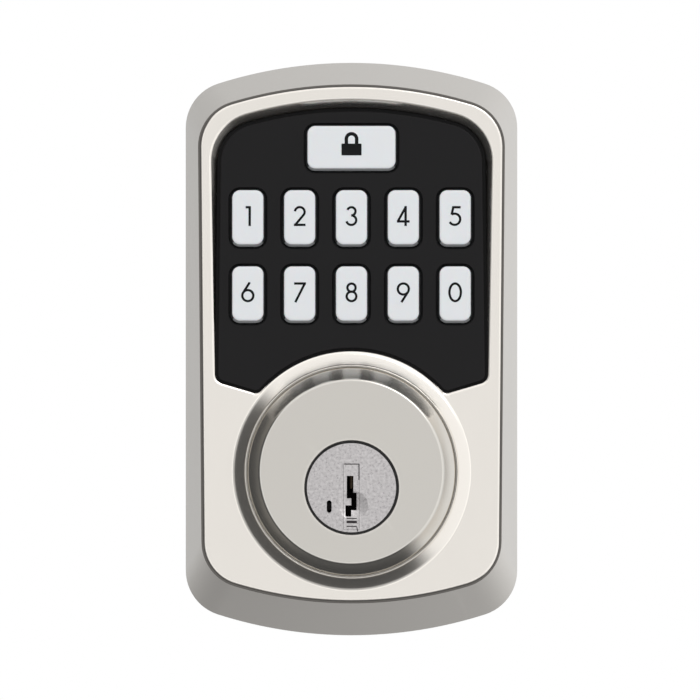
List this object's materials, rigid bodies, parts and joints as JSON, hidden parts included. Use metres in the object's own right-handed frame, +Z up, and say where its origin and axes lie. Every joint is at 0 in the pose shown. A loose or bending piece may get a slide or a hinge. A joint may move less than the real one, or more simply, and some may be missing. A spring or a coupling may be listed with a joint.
{
  "type": "keypad smart lock",
  "caption": "Outside unit of a motorised deadbolt: arched satin nickel escutcheon, lit numeric keypad over a keyed cylinder with a flared collar, turning tailpiece behind.",
  "frame": {"origin": "on the key cylinder's axis, in the plane of the door's outside face, midway between the two mounting bolts", "axes": "+Y into the door along the cylinder and the mounting bolts, +Z up along the tall side, +X to the right seen from outside; the keypad faces -Y"},
  "size_m": [0.0754, 0.088, 0.1304],
  "materials": {
    "satin_nickel": "satin nickel plate on zinc casting, fine vertical brushing",
    "guard_nickel": "satin nickel plate on hardened steel, turned",
    "panel_black": "satin black moulding, fine spark texture",
    "key_white": "translucent white, clear coated",
    "silicone_grey": "translucent grey silicone",
    "circuit_green": "solder mask over glass-fibre laminate",
    "dome_steel": "bright stamped stainless steel",
    "led_lens": "clear resin over yellow phosphor",
    "chip_black": "moulded epoxy",
    "radio_can": "tinned steel shield",
    "header_cream": "nylon",
    "foam_black": "closed-cell foam",
    "cover_black": "glass-filled nylon",
    "screw_zinc": "bright zinc plate",
    "cylinder_zinc": "plain zinc casting",
    "hard_steel": "hardened steel, ground",
    "plug_nickel": "brass, satin nickel plated face",
    "insert_steel": "sintered steel, satin",
    "spring_steel": "drawn spring wire",
    "pin_brass": "turned brass",
    "tail_steel": "stamped zinc-plated steel",
    "plate_steel": "pressed zinc-plated steel",
    "gasket_foam": "closed-cell foam sheet",
    "grommet_rubber": "moulded rubber"
  },
  "bodies": {
    "lock_unit": {"escutcheon_housing": "satin_nickel", "cylinder_guard": "guard_nickel", "keypad_panel": "panel_black", "keypad_membrane": "silicone_grey", "keypad_board": "circuit_green", "snap_domes": "dome_steel", "backlight_leds": "led_lens", "controller_chip": "chip_black", "radio_module": "radio_can", "cable_header": "header_cream", "panel_seal": "foam_black", "keypad_rear_cover": "cover_black", "cover_screws": "screw_zinc", "module_screws": "screw_zinc", "lock_cylinder_body": "cylinder_zinc", "drill_pins": "hard_steel", "cylinder_screws": "screw_zinc", "mounting_posts": "plate_steel", "back_plate": "plate_steel", "plate_screws": "screw_zinc", "cable_grommet": "grommet_rubber", "door_gasket": "gasket_foam"},
    "key_0": {"key_0": "key_white"},
    "key_1": {"key_1": "key_white"},
    "key_2": {"key_2": "key_white"},
    "key_3": {"key_3": "key_white"},
    "key_4": {"key_4": "key_white"},
    "key_5": {"key_5": "key_white"},
    "key_6": {"key_6": "key_white"},
    "key_7": {"key_7": "key_white"},
    "key_8": {"key_8": "key_white"},
    "key_9": {"key_9": "key_white"},
    "key_lock": {"key_lock": "key_white"},
    "plug": {"cylinder_plug": "plug_nickel", "keyway_insert": "insert_steel", "spring_cover": "pin_brass", "plug_clip": "spring_steel", "tailpiece": "tail_steel", "tailpiece_pin": "hard_steel", "tumbler_springs": "spring_steel", "sidebar_springs": "spring_steel", "reset_spring": "spring_steel"},
    "tumbler_1": {"tumbler_pin_1": "pin_brass", "tumbler_rack_1": "insert_steel"},
    "tumbler_2": {"tumbler_pin_2": "pin_brass", "tumbler_rack_2": "insert_steel"},
    "tumbler_3": {"tumbler_pin_3": "pin_brass", "tumbler_rack_3": "insert_steel"},
    "tumbler_4": {"tumbler_pin_4": "pin_brass", "tumbler_rack_4": "insert_steel"},
    "tumbler_5": {"tumbler_pin_5": "pin_brass", "tumbler_rack_5": "insert_steel"},
    "sidebar": {"sidebar": "insert_steel"},
    "reset_slide": {"reset_slide": "insert_steel"}
  },
  "joints": [
    {"name": "key_0_press", "type": "slide", "parent": "lock_unit", "child": "key_0", "axis": [0, 0.9994, -0.0349], "range_m": [0, 0.0008], "stiffness_N_per_m": 1500, "springref_m": -0.0006, "deforming": ["keypad_membrane"]},
    {"name": "key_1_press", "type": "slide", "parent": "lock_unit", "child": "key_1", "axis": [0, 0.9994, -0.0349], "range_m": [0, 0.0008], "stiffness_N_per_m": 1500, "springref_m": -0.0006, "deforming": ["keypad_membrane"]},
    {"name": "key_2_press", "type": "slide", "parent": "lock_unit", "child": "key_2", "axis": [0, 0.9994, -0.0349], "range_m": [0, 0.0008], "stiffness_N_per_m": 1500, "springref_m": -0.0006, "deforming": ["keypad_membrane"]},
    {"name": "key_3_press", "type": "slide", "parent": "lock_unit", "child": "key_3", "axis": [0, 0.9994, -0.0349], "range_m": [0, 0.0008], "stiffness_N_per_m": 1500, "springref_m": -0.0006, "deforming": ["keypad_membrane"]},
    {"name": "key_4_press", "type": "slide", "parent": "lock_unit", "child": "key_4", "axis": [0, 0.9994, -0.0349], "range_m": [0, 0.0008], "stiffness_N_per_m": 1500, "springref_m": -0.0006, "deforming": ["keypad_membrane"]},
    {"name": "key_5_press", "type": "slide", "parent": "lock_unit", "child": "key_5", "axis": [0, 0.9994, -0.0349], "range_m": [0, 0.0008], "stiffness_N_per_m": 1500, "springref_m": -0.0006, "deforming": ["keypad_membrane"]},
    {"name": "key_6_press", "type": "slide", "parent": "lock_unit", "child": "key_6", "axis": [0, 0.9994, -0.0349], "range_m": [0, 0.0008], "stiffness_N_per_m": 1500, "springref_m": -0.0006, "deforming": ["keypad_membrane"]},
    {"name": "key_7_press", "type": "slide", "parent": "lock_unit", "child": "key_7", "axis": [0, 0.9994, -0.0349], "range_m": [0, 0.0008], "stiffness_N_per_m": 1500, "springref_m": -0.0006, "deforming": ["keypad_membrane"]},
    {"name": "key_8_press", "type": "slide", "parent": "lock_unit", "child": "key_8", "axis": [0, 0.9994, -0.0349], "range_m": [0, 0.0008], "stiffness_N_per_m": 1500, "springref_m": -0.0006, "deforming": ["keypad_membrane"]},
    {"name": "key_9_press", "type": "slide", "parent": "lock_unit", "child": "key_9", "axis": [0, 0.9994, -0.0349], "range_m": [0, 0.0008], "stiffness_N_per_m": 1500, "springref_m": -0.0006, "deforming": ["keypad_membrane"]},
    {"name": "key_lock_press", "type": "slide", "parent": "lock_unit", "child": "key_lock", "axis": [0, 0.9994, -0.0349], "range_m": [0, 0.0008], "stiffness_N_per_m": 1500, "springref_m": -0.0006, "deforming": ["keypad_membrane"]},
    {"name": "plug_turn", "type": "hinge", "parent": "lock_unit", "child": "plug", "pos_m": [0, 0, 0], "axis": [0, 1, 0], "range_deg": [-90, 90]},
    {"name": "tumbler_1_lift", "type": "slide", "parent": "plug", "child": "tumbler_1", "axis": [0, 0, 1], "range_m": [0, 0.0024], "stiffness_N_per_m": 250, "springref_m": -0.0008, "deforming": ["tumbler_springs"]},
    {"name": "tumbler_2_lift", "type": "slide", "parent": "plug", "child": "tumbler_2", "axis": [0, 0, 1], "range_m": [0, 0.0024], "stiffness_N_per_m": 250, "springref_m": -0.0008, "deforming": ["tumbler_springs"]},
    {"name": "tumbler_3_lift", "type": "slide", "parent": "plug", "child": "tumbler_3", "axis": [0, 0, 1], "range_m": [0, 0.0024], "stiffness_N_per_m": 250, "springref_m": -0.0008, "deforming": ["tumbler_springs"]},
    {"name": "tumbler_4_lift", "type": "slide", "parent": "plug", "child": "tumbler_4", "axis": [0, 0, 1], "range_m": [0, 0.0024], "stiffness_N_per_m": 250, "springref_m": -0.0008, "deforming": ["tumbler_springs"]},
    {"name": "tumbler_5_lift", "type": "slide", "parent": "plug", "child": "tumbler_5", "axis": [0, 0, 1], "range_m": [0, 0.0024], "stiffness_N_per_m": 250, "springref_m": -0.0008, "deforming": ["tumbler_springs"]},
    {"name": "sidebar_out", "type": "slide", "parent": "plug", "child": "sidebar", "axis": [1, 0, 0], "range_m": [0, 0.0007], "stiffness_N_per_m": 400, "springref_m": 0.001, "deforming": ["sidebar_springs"]},
    {"name": "reset_press", "type": "slide", "parent": "plug", "child": "reset_slide", "axis": [0, 1, 0], "range_m": [0, 0.0015], "stiffness_N_per_m": 300, "springref_m": -0.0008, "deforming": ["reset_spring"]}
  ]
}
